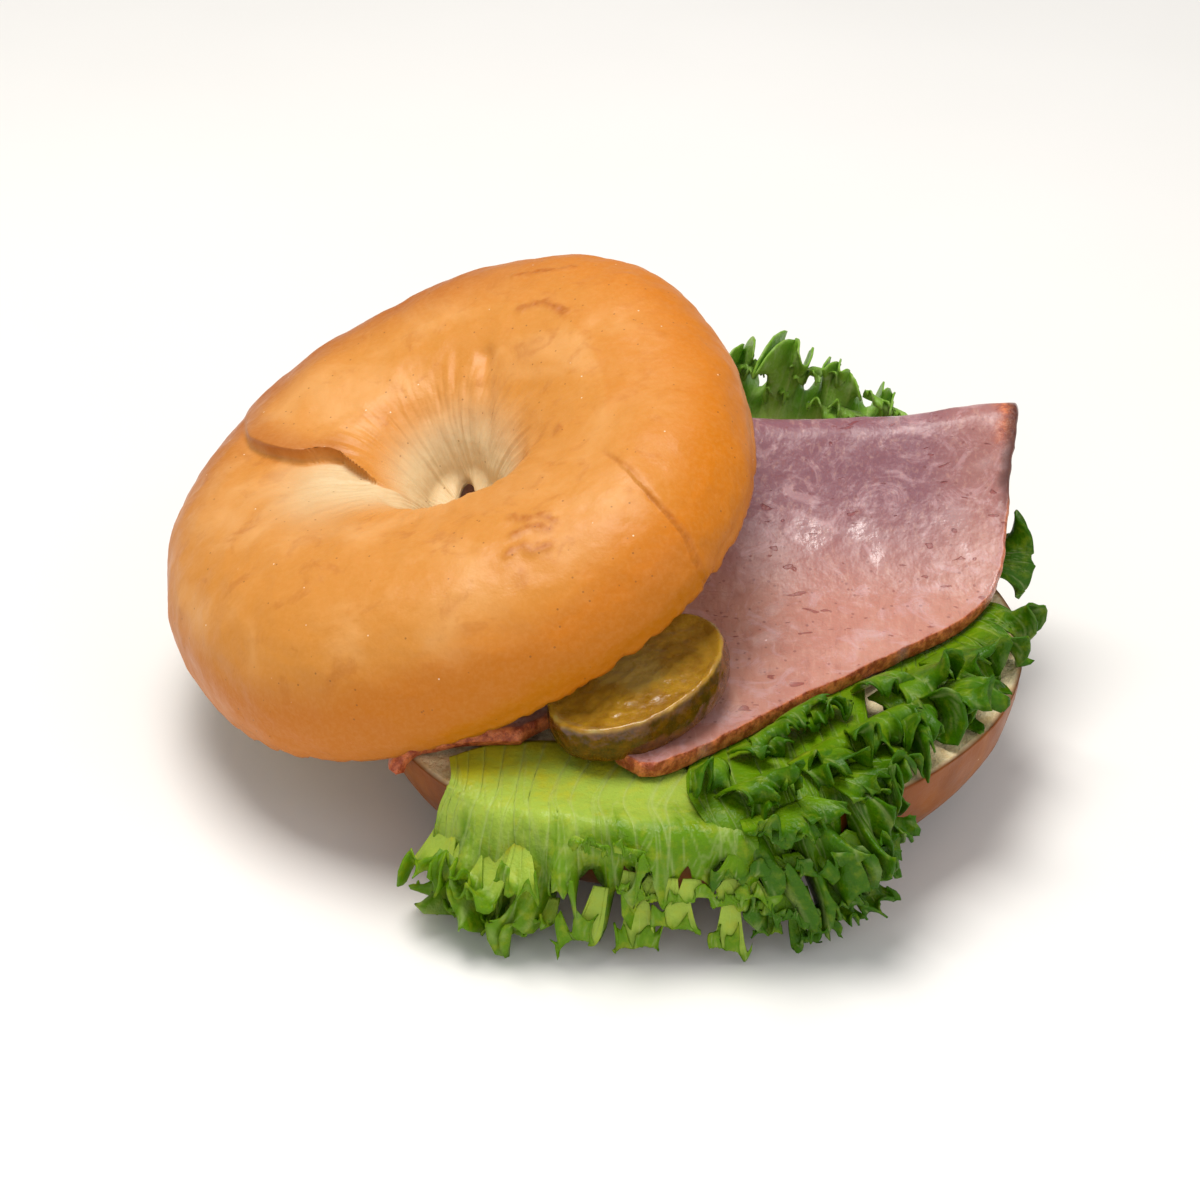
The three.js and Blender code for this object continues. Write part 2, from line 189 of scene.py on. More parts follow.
def piece(name, node, slot, points, faces, masks, material):
    """One closed mesh that stands for a CAD node. Points are in sandwich millimetres."""
    points = (points.reshape(-1, 3) + OFFSET) * MM
    faces = outward(points, faces)
    mesh = bpy.data.meshes.new(name)
    mesh.vertices.add(len(points))
    mesh.vertices.foreach_set("co", points.ravel())
    mesh.loops.add(faces.size)
    mesh.loops.foreach_set("vertex_index", faces.ravel())
    mesh.polygons.add(len(faces))
    mesh.polygons.foreach_set("loop_start", np.arange(0, faces.size, 4))
    mesh.update(calc_edges=True)
    mesh.validate()
    mesh.shade_smooth()
    for key, values in masks.items():
        layer = mesh.attributes.new(key, "FLOAT", "POINT")
        layer.data.foreach_set("value", np.ascontiguousarray(values, dtype=np.float32).ravel())
    mesh.materials.append(material)
    made = bpy.data.objects.new(name, mesh)
    bpy.context.scene.collection.objects.link(made)
    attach(made, "root")
    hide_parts(node)
    return made


def round_edge(near, half):
    """The share of a slice's thickness at that distance from its edge, for an edge that is half a circle."""
    return np.sqrt(np.clip(1 - (1 - np.clip(near / half, 0, 1)) ** 2, 0, 1))


def shell(middle, normals, half, masks):
    """A closed sheet: both sides of a grid of points, joined along every open edge, with its masks."""
    count = half.size
    depth = normals * half[..., None]
    points = np.concatenate([(middle + depth).reshape(-1, 3), (middle - depth).reshape(-1, 3)])
    faces = grid_faces(*half.shape)
    starts = faces.ravel()
    ends = np.roll(faces, -1, axis=1).ravel()
    open_edge = ~np.isin(starts * count + ends, ends * count + starts)
    a, b = starts[open_edge], ends[open_edge]
    sides = np.stack([b, a, a + count, b + count], axis=1)
    faces = np.concatenate([faces, faces[:, ::-1] + count, sides])
    return points, faces, {key: np.tile(mask.ravel(), 2) for key, mask in masks.items()}


# Materials
def colour(red, green, blue):
    """A display colour, 0 to 255, as the linear one that shaders take."""
    def linear(c):
        c /= 255
        return c / 12.92 if c <= 0.04045 else ((c + 0.055) / 1.055) ** 2.4
    return (linear(red), linear(green), linear(blue), 1.0)


class Finish:
    """A procedural material. Sizes are in millimetres."""

    def __init__(self, name, **settings):
        self.material = bpy.data.materials.new(name)
        self.material.use_nodes = True
        self.tree = self.material.node_tree
        self.shader = self.tree.nodes["Principled BSDF"]
        self.output = self.tree.nodes["Material Output"]
        self.place = self.node("ShaderNodeTexCoord").outputs["Object"]
        self.normal = None
        for key, value in settings.items():
            self.shader.inputs[key.replace("_", " ")].default_value = value

    def node(self, kind, inputs=None, **settings):
        made = self.tree.nodes.new(kind)
        for key, value in settings.items():
            setattr(made, key, value)
        for key, value in (inputs or {}).items():
            self.put(made.inputs[key], value)
        return made

    def put(self, socket, value):
        if isinstance(value, bpy.types.NodeSocket):
            self.tree.links.new(value, socket)
        else:
            socket.default_value = value

    def at(self, stretch):
        """The place on the object, squeezed so that patterns come out longer along an axis."""
        if stretch is None:
            return self.place
        scale = self.node("ShaderNodeVectorMath", {0: self.place, 1: stretch}, operation="MULTIPLY")
        return scale.outputs["Vector"]

    def noise(self, size, detail=3.0, roughness=0.55, stretch=None, twist=0.0):
        made = self.node("ShaderNodeTexNoise", {
            "Vector": self.at(stretch), "Scale": 1000 / size, "Detail": detail,
            "Roughness": roughness, "Distortion": twist})
        return made.outputs["Fac"]

    def cells(self, size):
        made = self.node("ShaderNodeTexVoronoi", {"Vector": self.place, "Scale": 1000 / size})
        return made.outputs["Distance"]

    def mask(self, name):
        return self.node("ShaderNodeAttribute", attribute_name=name).outputs["Fac"]

    def between(self, value, low, high, to_low=0.0, to_high=1.0):
        made = self.node("ShaderNodeMapRange", {
            "Value": value, "From Min": low, "From Max": high, "To Min": to_low, "To Max": to_high},
            interpolation_type="SMOOTHSTEP")
        return made.outputs["Result"]

    def math(self, operation, a, b):
        return self.node("ShaderNodeMath", {0: a, 1: b}, operation=operation).outputs["Value"]

    def times(self, a, b):
        return self.math("MULTIPLY", a, b)

    def blend(self, amount, a, b):
        made = self.node("ShaderNodeMix", data_type="RGBA")
        self.put(made.inputs[0], amount)
        self.put(made.inputs[6], a)
        self.put(made.inputs[7], b)
        return made.outputs[2]

    def bump(self, height, depth):
        """Adds relief of that depth to what is there."""
        inputs = {"Height": height, "Distance": depth * MM, "Strength": 1.0}
        if self.normal is not None:
            inputs["Normal"] = self.normal
        self.normal = self.node("ShaderNodeBump", inputs).outputs["Normal"]

    def finish(self, base, roughness):
        self.put(self.shader.inputs["Base Color"], base)
        self.put(self.shader.inputs["Roughness"], roughness)
        if self.normal is not None:
            self.put(self.shader.inputs["Normal"], self.normal)
        return self.material

    def see_through(self, base, share):
        """Lets a share of the light through, as a thin leaf does."""
        through = self.node("ShaderNodeBsdfTranslucent", {"Color": base})
        if self.normal is not None:
            self.put(through.inputs["Normal"], self.normal)
        shaders = {0: share, 1: self.shader.outputs[0], 2: through.outputs[0]}
        both = self.node("ShaderNodeMixShader", shaders)
        self.put(self.output.inputs["Surface"], both.outputs[0])


def crust(name, gold, light, brown, ochre, pale):
    """Baked crust: golden, with lighter swirls, browner patches, pores and flour specks. The masks paint
    where it is browner, ochre or pale, and where it is open crumb; part of the browner and ochre colour
    is painted shade."""
    f = Finish(name, Subsurface_Weight=0.05, Subsurface_Scale=0.002, Subsurface_Radius=(1.0, 0.5, 0.25),
               Specular_IOR_Level=0.26)
    swirl = f.noise(17, 4, 0.55, twist=0.8)
    blotch = f.noise(6, 4, 0.6, twist=0.6)
    grain = f.noise(0.9, 3, 0.6)
    base = f.blend(f.between(swirl, 0.42, 0.78), gold, light)
    base = f.blend(f.times(f.between(blotch, 0.54, 0.72), 0.3), base, brown)
    # The ochre and brown masks are partly painted shade: on the lower side walls, towards the floor and in
    # the crack
    base = f.blend(f.mask("ochre"), base, ochre)
    base = f.blend(f.mask("brown"), base, brown)
    base = f.blend(f.mask("pale"), base, pale)
    base = f.blend(f.between(grain, 0.35, 0.75, 0.0, 0.16), base, light)
    pores = f.between(f.cells(2.6), 0.05, 0.09, 1.0, 0.0)
    base = f.blend(f.times(pores, 0.55), base, colour(120, 70, 30))
    specks = f.between(f.cells(5.3), 0.02, 0.035, 1.0, 0.0)
    base = f.blend(f.times(specks, 0.7), base, colour(250, 235, 205))
    crumb = f.mask("crumb")
    crumb_tone = f.between(f.noise(3, 4, 0.65), 0.35, 0.7)
    crumb_base = f.blend(crumb_tone, colour(240, 222, 180), colour(222, 192, 138))
    base = f.blend(crumb, base, crumb_base)
    f.bump(f.noise(2.2, 3, 0.5), 0.10)
    f.bump(f.noise(0.5, 2, 0.5), 0.04)
    f.bump(f.times(f.noise(1.3, 4, 0.7), crumb), 0.8)
    gloss = f.between(f.noise(9, 3, 0.6), 0.3, 0.7, 0.36, 0.5)
    rough = f.math("ADD", gloss, f.times(crumb, 0.4))
    return f.finish(base, rough)


def meat():
    """Cured roast meat: salmon, going to a darker purplish tone that is partly painted shade, with fibres,
    dark flecks, moist glossy patches lightened by painted highlight, a near-black edge of painted shade and a
    brown rind.
    """
    f = Finish("meat", Subsurface_Weight=0.2, Subsurface_Scale=0.003, Subsurface_Radius=(1.0, 0.35, 0.25))
    tone = f.noise(14, 3, 0.5, twist=0.5)
    base = f.blend(f.between(tone, 0.38, 0.64), colour(186, 126, 110), colour(194, 136, 118))
    # Partly painted shade: a darker purplish tone where the mask says
    base = f.blend(f.mask("mauve"), base, colour(126, 80, 94))
    fibre = f.noise(1.1, 4, 0.6, stretch=(1.0, 0.22, 1.0), twist=0.4)
    base = f.blend(f.between(fibre, 0.5, 0.72, 0.0, 0.25), base, colour(216, 172, 154))
    base = f.blend(f.between(fibre, 0.46, 0.3, 0.0, 0.3), base, colour(150, 90, 80))
    marbling = f.between(f.noise(8, 5, 0.7, twist=1.6), 0.5, 0.66, 0.0, 0.4)
    base = f.blend(marbling, base, colour(208, 168, 170))
    fleck = f.between(f.cells(2.1), 0.1, 0.17, 1.0, 0.0)
    base = f.blend(f.times(fleck, 0.5), base, colour(120, 60, 56))
    slits = f.between(f.noise(1.9, 1, 0.4, stretch=(0.5, 1.2, 1.0), twist=0.5), 0.70, 0.745)
    base = f.blend(f.times(slits, 0.6), base, colour(128, 30, 28))
    lines = f.math("ABSOLUTE", f.math("SUBTRACT", f.noise(9, 3, 0.55, twist=0.8), 0.5), 0.0)
    base = f.blend(f.between(lines, 0.0, 0.006, 0.22, 0.0), base, colour(140, 60, 52))
    rind_tone = f.between(f.noise(1.6, 4, 0.65), 0.36, 0.66)
    rind = f.mask("rind")
    base = f.blend(rind, base, f.blend(rind_tone, colour(160, 68, 34), colour(228, 130, 76)))
    # Painted shade: near-black over the rind along the right edge at the back
    base = f.blend(f.times(f.mask("dark"), 0.85), base, colour(62, 24, 16))
    # Painted highlight: the glossy wet patches are also lightened towards white
    wet = f.mask("wet")
    base = f.blend(f.times(wet, 0.25), base, colour(232, 208, 208))
    f.bump(f.noise(1.4, 3, 0.5, stretch=(1.0, 0.5, 1.0), twist=0.6), 0.1)
    f.bump(f.noise(4, 3, 0.6), 0.3)
    f.bump(f.between(slits, 0.0, 1.0, 1.0, 0.0), 0.15)
    f.bump(f.times(f.noise(1.2, 4, 0.7), rind), 0.5)
    rough = f.between(wet, 0.0, 1.0, 0.4, 0.16)
    return f.finish(base, rough)


def pickle_skin():
    """Brined cucumber: olive, cloudy in the middle, darker at the skin."""
    f = Finish("pickle", Subsurface_Weight=0.5, Subsurface_Scale=0.004, Subsurface_Radius=(0.8, 1.0, 0.2),
               Coat_Weight=0.3, Coat_Roughness=0.12)
    flesh = f.blend(f.between(f.noise(5, 4, 0.6), 0.35, 0.65), colour(146, 102, 14), colour(180, 136, 34))
    flesh = f.blend(f.mask("cloud"), flesh, colour(170, 142, 70))
    skin = f.blend(f.between(f.noise(2.5, 3, 0.6), 0.35, 0.7), colour(80, 44, 0), colour(122, 72, 0))
    base = f.blend(f.mask("skin"), flesh, skin)
    base = f.blend(f.mask("edge"), base, colour(186, 168, 108))
    f.bump(f.noise(1.8, 3, 0.6), 0.25)
    return f.finish(base, f.between(f.noise(3, 3, 0.6), 0.3, 0.7, 0.18, 0.34))


def leaf(name, root, middle, margin):
    """Lettuce: pale at the root, greener to the margin, with pale veins. It lets some light through."""
    f = Finish(name, Subsurface_Weight=0.0, Specular_IOR_Level=0.25)
    reach = f.mask("reach")
    uneven = f.math("ADD", reach, f.between(f.noise(7, 3, 0.6), 0.3, 0.7, -0.12, 0.12))
    base = f.blend(f.between(uneven, 0.08, 0.36), root, middle)
    base = f.blend(f.between(uneven, 0.5, 0.95), base, margin)
    base = f.blend(f.between(f.noise(2.2, 3, 0.6), 0.45, 0.75, 0.0, 0.35), base, root)
    base = f.blend(f.times(f.mask("vein"), 0.4), base, colour(214, 226, 150))
    f.bump(f.noise(2.4, 3, 0.6), 0.35)
    f.bump(f.noise(0.6, 2, 0.5), 0.06)
    made = f.finish(base, f.between(f.noise(3, 2, 0.5), 0.3, 0.7, 0.3, 0.45))
    f.see_through(base, 0.35)
    return made


def floor_finish():
    f = Finish("floor")
    base = f.blend(f.between(f.noise(400, 3, 0.5), 0.3, 0.7), colour(236, 234, 230), colour(240, 238, 235))
    return f.finish(base, f.between(f.noise(60, 3, 0.5), 0.3, 0.7, 0.62, 0.7))


# Bread
def cut_height(x):
    return BOTTOM_HEIGHT + BOTTOM_SLOPE * x


def bottom_radius(t):
    return BOTTOM_RADIUS * wobble(BOTTOM_WOBBLE, 2, t)


def bottom_side(t, z):
    """How far out the bottom half's side is at that angle and height."""
    share = np.clip(z / BOTTOM_HEIGHT, 0, 1)
    bulge = (1 - (1 - share) ** SIDE_POWER) ** (1 / SIDE_POWER)
    return BASE_OUTER + (bottom_radius(t) - BASE_OUTER) * bulge


def bottom_half():
    around, rows = 320, (46, 6, 16, 40)
    t = np.linspace(0, 2 * math.pi, around, endpoint=False)[None, :]
    rim = bottom_radius(t)
    radii, shares = [], []
    p = np.linspace(0, math.pi / 2, rows[0], endpoint=False)[:, None]
    radii.append(BASE_OUTER + (rim - BASE_OUTER) * np.cos(p) ** (2 / SIDE_POWER))
    shares.append(1 - np.sin(p) ** (2 / SIDE_POWER) + 0 * rim)
    radii.append(np.linspace(BASE_OUTER, BASE_INNER, rows[1], endpoint=False)[:, None] + 0 * rim)
    shares.append(np.zeros((rows[1], around)))
    p = np.linspace(math.pi / 2, 0, rows[2], endpoint=False)[:, None]
    radii.append(BASE_INNER - (BASE_INNER - HOLE_RADIUS) * np.cos(p) ** (2 / BOTTOM_HOLE_POWER) + 0 * rim)
    shares.append(1 - np.sin(p) ** (2 / BOTTOM_HOLE_POWER) + 0 * rim)
    radii.append(mix(HOLE_RADIUS, rim, np.linspace(0, 1, rows[3], endpoint=False)[:, None]))
    shares.append(np.ones((rows[3], around)))
    cut = np.concatenate([np.full(n, float(k == 3)) for k, n in enumerate(rows)])[:, None] + 0 * t
    r, share = np.concatenate(radii), np.concatenate(shares)
    x, y = r * np.cos(t), r * np.sin(t)
    points = np.stack([x, y, share * cut_height(x)], axis=-1)
    normals = grid_normals(points, True, True)
    outer = (r > BASE_OUTER - 5)[..., None]
    normals *= np.sign(np.sum(normals * (points - [0, 0, BOTTOM_HEIGHT / 2]) * outer))
    face = cut * smooth(0, 1.2, rim - r)
    dent = 0.25 * (layered(points, 14, 3) - 1)
    crumbly = -0.9 * np.abs(layered(points, 3.2, 9)) * face
    clear = smooth(0, 2, points[..., 2]) * (1 - face)
    points = points + normals * (dent * clear + crumbly)[..., None]
    z = points[..., 2]
    masks = {
        "crumb": face,
        "pale": 0.75 * smooth(22, 12, r) * (1 - face),
        # Browner towards the floor, which is painted shade, with brown patches at random
        "brown": np.clip(0.85 * smooth(15, 3, z) + 0.5 * layered(points, 9, 13), 0, 1) * (1 - face),
        "ochre": 0.35 * smooth(14, 20, z) * (1 - face),
    }
    return points, grid_faces(len(r), around, True, True), masks


# Where the dough's ends overlap: the lip's angle in degrees at each distance from the axis
SEAM_RADII = [8, 11, 13, 16, 18, 20, 22, 24, 26, 29, 33, 38, 43, 48, 54]
SEAM_ANGLES = [196, 184, 174, 166, 161, 159.5, 161, 163.5, 163.3, 162, 159.6, 155.6, 149, 143, 139]
# Marks on the top half, in its own frame with the cut face at height 0
CRACK = [[33, -18.5, 18.6], [35.1, -21.8, 18], [37.4, -25.2, 17.4], [39.9, -31.3, 15.6], [42.1, -34.5, 12.9],
         [43.4, -37, 9.1], [43.5, -38.9, 5.4], [43.3, -39.3, 0]]
# How far to the right the crack lies at each y; the skin beyond it is lifted
CRACK_EDGE = [[-39.3, 17.6], [-37, 18.8], [-31.3, 18.7], [-21.8, 19.3], [-18, 19.6]]
CREASE = [[10.8, 22, 15.5], [10.3, 17.3, 13.4], [10, 13.4, 12], [9.5, 9.2, 9.8], [9.4, 5, 6]]
WRINKLES = [
    [[17.2, -30.2, 20.4], [19.9, -32, 20.2], [22.1, -31.5, 19.9], [24.2, -33.6, 19.5]],
    [[16.2, -38.9, 20.3], [18.5, -37.7, 20.1], [20.3, -39.1, 19.6], [23.2, -38.6, 19]],
    [[17.6, -34.9, 20.5], [20.4, -33.8, 20.2], [23.4, -35.1, 19.6]],
    [[24.9, -6.2, 16.3], [24.3, -8, 16.3]],
    [[17.4, 41.1, 16.3], [23.2, 39.5, 15.9], [28.4, 38.6, 14.9]],
    [[18.4, 29.8, 16.8], [23.3, 29.4, 16.7], [27, 24, 16.7]]]

# Where the top half's columns stand closer: degrees, width in degrees, weight
TOP_DENSE = [(-38, 9, 1.6), (160, 14, 1.4), (60, 30, 0.4)]


def spaced_angles(count, close):
    """Angles once round, closer together near the given ones: (degrees, width in degrees, weight)."""
    fine = np.linspace(0, 2 * math.pi, 3601)
    weight = np.ones_like(fine)
    for middle, width, extra in close:
        away = wrapped(np.degrees(fine) - middle, 360)
        weight += extra * np.exp(-((away / width) ** 2))
    total = np.concatenate([[0], np.cumsum((weight[1:] + weight[:-1]) / 2)])
    return np.interp(np.linspace(0, total[-1], count, endpoint=False), total, fine)


def seam_lip(t, r):
    """The overlap of the dough's two ends: its height, and the angle past its edge on the upper side."""
    line = np.radians(np.interp(r, SEAM_RADII, SEAM_ANGLES))
    past = wrapped(line - t)
    upper = SEAM_STEP * smooth(0, 0.03, past) * (1 - smooth(0.15, 1.1, past))
    rolled = 0.45 * smooth(0, 0.05, past) * (1 - smooth(0.06, 0.3, past))
    lower = -SEAM_STEP * smooth(0.02, 0, past) * smooth(-0.9, -0.05, past)
    reach = smooth(9, 15, r) * (1 - 0.85 * smooth(36, 47, r)) * (1 - smooth(50, 56, r))
    return (upper + rolled + lower) * reach, past


def top_hole(t):
    away = t - math.radians(95)
    return TOP_HOLE * (1 + 0.28 * np.cos(away) + 0.21 * np.cos(2 * away))


def top_profile(t):
    """Radius and height of the top half's rings: up the outside, down into the hole and out along the cut."""
    rows = (80, 64, 14)
    rim = TOP_RADIUS * wobble(TOP_WOBBLE, 2, t)
    height = TOP_HEIGHT * wobble(HEIGHT_WOBBLE, 1, t)
    crest, hole = TOP_CREST * rim, top_hole(t)
    p = np.linspace(0, math.pi / 2, rows[0], endpoint=False)[:, None]
    z_out = height * np.sin(p) ** (2 / CROWN_POWER)
    r_out = crest + (rim - crest) * np.cos(p) ** (2 / CROWN_POWER)
    r_out -= TOP_UNDERCUT * np.clip(1 - z_out / 5, 0, 1) ** 2
    p = np.linspace(math.pi / 2, 0, rows[1], endpoint=False)[:, None]
    square = 2 / (TOP_HOLE_POWER - 0.15 * np.cos(t + math.pi / 2))
    z_in = height * np.sin(p) ** square
    r_in = crest - (crest - hole) * np.cos(p) ** square
    # Part of the way down the hole is wider towards the front, most of all at the front right
    near = smooth(110, 60, np.degrees(np.abs(wrapped(t + math.radians(75)))))
    wide = 1.6 * near + 2.4 * np.exp(-(wrapped(np.degrees(t) - 322, 360) / 35) ** 2)
    r_in += wide * smooth(17, 12, z_in) * smooth(0, 4, z_in)
    # At the cut it is pinched to a slit
    slit = 1 / np.hypot(np.cos(t) / TOP_SLIT[0], np.sin(t) / TOP_SLIT[1])
    r_in = mix(r_in, np.minimum(r_in, slit), smooth(3.4, 1.0, z_in))
    hole = r_in[-1:]
    r_cut = mix(hole, rim - TOP_UNDERCUT, np.linspace(0, 1, rows[2], endpoint=False)[:, None])
    r = np.concatenate([r_out, r_in, r_cut])
    z = np.concatenate([z_out, z_in, 0 * r_cut])
    part = np.repeat([0, 1, 2], rows)[:, None] + 0 * t
    return r, z, part, rim


def marks(local):
    """The crack with its lifted skin, the crease in the hole and the small wrinkles: relief and brownness;
    the brown in the crack's groove is painted shade.
    """
    d, place = distance_to_line(local, CRACK)
    right = local[..., 0] * 0.86 + local[..., 1] * 0.5
    edge = np.interp(local[..., 1], *zip(*CRACK_EDGE))
    deep = smooth(0, 0.35, place)
    lifted = 0.55 * smooth(4.5, 0.3, d) * (right > edge) * deep
    groove = np.exp(-((d / 0.45) ** 2)) * (0.3 + 0.7 * deep)
    relief = lifted - 0.5 * groove
    # Painted shade: the crack's groove is darkened with brown
    brown = 0.8 * groove
    d, _ = distance_to_line(local, CREASE)
    relief -= 1.1 * np.exp(-((d / 1.6) ** 2))
    rough = noise(local, 1.1, 95)
    for line in WRINKLES:
        d, _ = distance_to_line(local + 0.5 * rough[..., None], line)
        relief += 0.35 * np.exp(-(((d - 0.5) / 0.5) ** 2)) - 0.35 * np.exp(-(((d + 0.1) / 0.5) ** 2))
        brown = np.maximum(brown, 0.75 * np.exp(-((d / 0.8) ** 2)))
    return relief, brown


def top_half():
    around = 560
    t = spaced_angles(around, TOP_DENSE)[None, :]
    r, z, part, rim = top_profile(t)
    lip, past = seam_lip(t, r)
    z = z + lip * smooth(0, 6, z)
    local = np.stack([r * np.cos(t), r * np.sin(t), z], axis=-1)
    normals = grid_normals(local, True, True)
    normals *= np.sign(np.sum(normals[:20] * local[:20]))
    off_cut = smooth(0, 2.5, z) * (part < 2)
    inner = (part == 1) * 1.0
    soft = 0.5 * layered(local, 17, 21) - 0.4
    dimple = 0.14 * layered(local, 4.5, 25)
    spokes = np.stack([t * 9 + 0 * r, r / 14, 0 * r], axis=-1)
    pleats = layered(spokes, 1.0, 31) * inner * smooth(30, 15, r)
    relief, brown = marks(local)
    local = local + normals * ((soft + dimple + 0.3 * pleats + relief) * off_cut)[..., None]
    ragged = np.clip(layered(local, 4.2, 41) + 0.25, 0, 1) * smooth(2.8, 0, z) * (part == 0)
    local[..., 2] += 1.1 * ragged
    upper = smooth(0, 0.02, past) * smooth(0.32, 0.03, past)
    lower = smooth(0, -0.05, past) * smooth(-1.5, -0.3, past)
    brown = np.maximum(brown, 0.6 * upper * smooth(12, 20, r) * smooth(50, 42, r))
    rim_tone = smooth(20, 75, np.degrees(np.abs(wrapped(t - math.radians(120)))))
    brown = np.maximum(brown, 0.85 * (1 - rim_tone) * smooth(34, 50, r) * (part == 0))
    pale = inner * np.maximum(0.95 * smooth(15, 7.5, z), 0.9 * lower * smooth(33, 17, r))
    masks = {
        "crumb": (part == 2) * smooth(0, 0.8, rim - TOP_UNDERCUT - r),
        "pale": pale,
        "brown": brown * off_cut,
        # Darker ochre down the side wall towards the cut: partly the crust's own colour, partly painted shade
        "ochre": (part == 0) * smooth(19.5, 11, z + 1.5 * noise(local, 9, 47)) * 0.95,
    }
    points = local @ turn_to(TOP_NORMAL).T + TOP_CENTRE
    points[..., 1] = np.minimum(points[..., 1], TOP_BACK)
    return points, grid_faces(len(r), around, True, True), masks


# Meat

# Across the big slice at each y: the middle of its thickness, and its left and right ends in x
ROAST_ROWS = np.array([
    [-46, 25.9, -8.5, -6], [-42, 25.9, -12.5, 0.5], [-36, 26, -15.5, 8], [-28, 26.3, -17.5, 17.5],
    [-20, 26.7, -18, 28.5], [-12, 27.4, -18, 39.5], [-5, 28.4, -18, 48.5], [2, 30, -18, 54.5],
    [9, 33.2, -18, 57], [15, 36.6, -18, 58], [21, 41, -18, 58.8], [26, 45.3, -18, 59.8],
    [29.3, 47.4, -18, 60.4], [32.6, 47.1, -18, 61], [35.2, 44, -18, 61.3], [37, 39, -18, 61.2],
    [38.3, 33.5, -17, 60.2], [40.3, 28.8, -15, 57], [45, 26.9, -9, 49]], float)
ROAST_LENGTH = 110
# The left slice: its front and back ends in y, the x of its fold at each, how far the fold is bent there in
# degrees, the share of its width that lies flat, and its length and width
LEFT_ENDS = (-35.5, 33)
LEFT_FOLD = (-44.5, -49)
LEFT_BEND = (-75, 156)
LEFT_FLAT = 0.42
LEFT_SIZE = (68, 60)


def top_plane(x, y):
    """The height of the top half's cut face over a place."""
    return TOP_CENTRE[2] - TOP_NORMAL[0] * (x - TOP_CENTRE[0]) - TOP_NORMAL[1] * (y - TOP_CENTRE[1])


def roast_height(x, y, height):
    lift = 2.6 * smooth(38, 61, x) * smooth(18, 30, y) * smooth(26, 44, height)
    wave = 0.5 * np.sin(x / 9 + y / 14) * smooth(-20, 0, y)
    return np.minimum(height + lift + wave, top_plane(x, y) - GAP - ROAST_HALF)


def rounded_across(left, right, half, columns, corner=7):
    """Places across a slice from left to right, closer together in its rounded edges, and the share of the
    thickness that each place has."""
    turn = np.linspace(0, math.pi / 2, corner)
    inset = 0.4 * (1.0 - np.cos(turn))
    width = (right - left)[:, None]
    reach = np.minimum(half, 0.49 * width)
    inner = np.linspace(0, 1, columns)[1:-1]
    middle = left[:, None] + 0.5 * reach + (width - reach) * inner
    x = np.concatenate([left[:, None] + reach * inset, middle, right[:, None] - reach * inset[::-1]], axis=1)
    share = np.concatenate([np.sin(turn), np.ones(columns - 2), np.sin(turn)[::-1]])
    return x, np.broadcast_to(share, x.shape)


def roast_slice():
    rows, columns = 220, 96
    v = np.linspace(0, 1, rows)
    y, height, left, right = along(ROAST_ROWS, v).T
    edge_at = np.stack([right, y, height], axis=-1)
    right = right - 0.5 * np.abs(layered(edge_at, 6, 51))
    left = left + 0.4 * np.abs(layered(edge_at, 5, 57))
    x, share = rounded_across(left, right, ROAST_HALF, columns)
    y = y[:, None] + 0 * x
    z = roast_height(x, y, height[:, None])
    middle = np.stack([x, y, z], axis=-1)
    normals = grid_normals(middle)
    normals *= np.sign(normals[rows // 3, columns // 2, 2])
    ends = np.minimum(v, 1 - v)[:, None] * ROAST_LENGTH
    share = np.minimum(share, round_edge(ends, ROAST_HALF))
    half = np.maximum(ROAST_HALF * share, 0.05)
    relief = 0.22 * (layered(middle, 7, 61) - 0.8) * share
    to_right = right[:, None] - x
    rind = smooth(1.0, 0.9, share) * ((to_right < 4) | (y < -40))
    corner = smooth(5, 1.0, to_right + 1.2 * noise(middle, 4, 63)) * smooth(20, 31, y)
    rind = np.clip(rind + corner, 0, 1)
    # Glossy wet patches, which the finish also lightens as painted highlight; more of them towards the right
    wet = smooth(0.35, 0.7, layered(middle, 9, 66) + 0.25 * smooth(40, 52, x))
    # Partly painted shade: the slice turns a darker purplish tone towards the back, where it rises, and
    # towards the left
    mauve = np.clip(smooth(-6, 22, y) * 0.9 + 0.4 * smooth(8, -12, x), 0, 1) * (1 - 0.5 * smooth(40, 55, x))
    # Painted shade: a near-black band along the right edge at the back, over the rind
    dark = smooth(2.8, 1.0, to_right + 0.6 * noise(middle, 3, 64)) * smooth(13, 22, y)
    masks = {"rind": rind, "wet": wet * 0.8, "mauve": mauve, "dark": dark}
    return shell(middle, normals, half + relief, masks)


